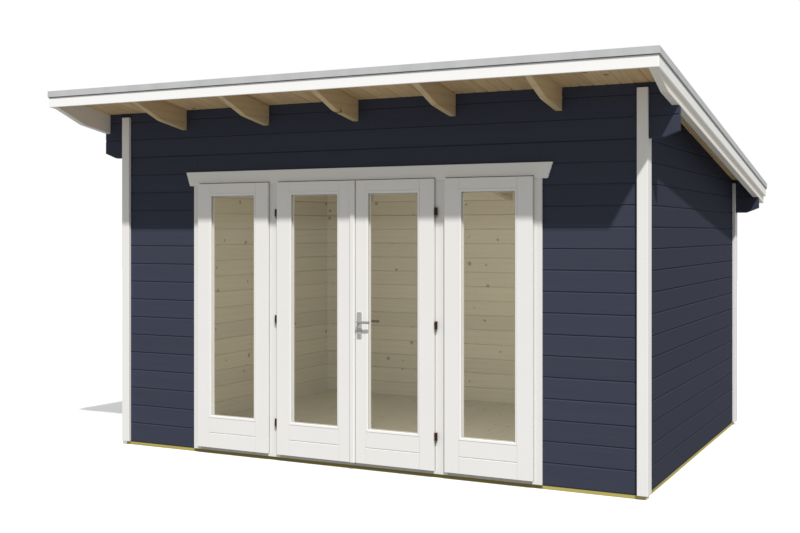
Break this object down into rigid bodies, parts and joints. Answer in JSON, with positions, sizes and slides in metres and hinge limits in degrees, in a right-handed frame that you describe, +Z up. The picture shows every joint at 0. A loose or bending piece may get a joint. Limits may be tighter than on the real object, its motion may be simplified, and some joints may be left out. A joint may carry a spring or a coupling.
{
  "type": "garden office pod",
  "caption": "Log-built garden office with a pent roof on exposed rafters, glazed double doors between fixed sidelights and painted corner boards.",
  "frame": {"origin": "on the ground, under the middle of the roof's outline", "axes": "+X along the front to the right, +Y from the front to the back, +Z up"},
  "size_m": [4.468, 3.849, 2.6496],
  "materials": {
    "navy_wood": "satin dark navy paint on profiled logs",
    "white_wood": "satin white paint on planed wood",
    "pine": "bare planed pine",
    "treated_wood": "rough sawn treated softwood",
    "grey_trim": "light grey matt metal",
    "glass": "clear double glazing",
    "hinge_brown": "brown sleeves over steel knuckles",
    "handle_steel": "satin nickel",
    "roof_membrane": "matt dark membrane",
    "threshold_alu": "matt grey"
  },
  "bodies": {
    "cabin": {"front_wall_left": "navy_wood", "front_wall_right": "navy_wood", "front_wall_lintel": "navy_wood", "front_wall_top": "navy_wood", "back_wall": "navy_wood", "back_wall_top": "navy_wood", "left_wall": "navy_wood", "right_wall": "navy_wood", "corner_boards_front_back": "white_wood", "corner_boards_sides": "white_wood", "verge_rafter_left": "white_wood", "verge_rafter_right": "white_wood", "fascia_boards": "white_wood", "bargeboards": "white_wood", "door_frame_posts": "white_wood", "door_frame_head": "white_wood", "door_header_board": "white_wood", "sidelights": "white_wood", "floor": "pine", "roof_deck": "pine", "rafter_1": "pine", "rafter_2": "pine", "rafter_3": "pine", "rafter_4": "pine", "rafter_5": "pine", "base_rails_long": "treated_wood", "base_rails_short": "treated_wood", "floor_bearers": "treated_wood", "eaves_trim": "grey_trim", "verge_trim": "grey_trim", "sidelight_glass": "glass", "hinge_pins": "hinge_brown", "roof_covering": "roof_membrane", "threshold": "threshold_alu"},
    "left_door": {"left_door_leaf": "white_wood", "left_door_glass": "glass", "meeting_strip": "white_wood", "left_hinge_knuckles": "hinge_brown"},
    "right_door": {"right_door_leaf": "white_wood", "right_door_glass": "glass", "right_hinge_knuckles": "hinge_brown", "handle_plates": "handle_steel"},
    "door_lever": {"door_lever": "handle_steel"}
  },
  "joints": [
    {"name": "left_door_hinge", "type": "hinge", "parent": "cabin", "child": "left_door", "pos_m": [-0.624, -1.3645, 0], "axis": [0, 0, -1], "range_deg": [0, 110]},
    {"name": "right_door_hinge", "type": "hinge", "parent": "cabin", "child": "right_door", "pos_m": [0.624, -1.3645, 0], "axis": [0, 0, 1], "range_deg": [0, 110]},
    {"name": "lever_turn", "type": "hinge", "parent": "right_door", "child": "door_lever", "pos_m": [0.056, -1.3755, 1.013], "axis": [0, 1, 0], "range_deg": [0, 40], "stiffness_Nm_per_rad": 2}
  ]
}
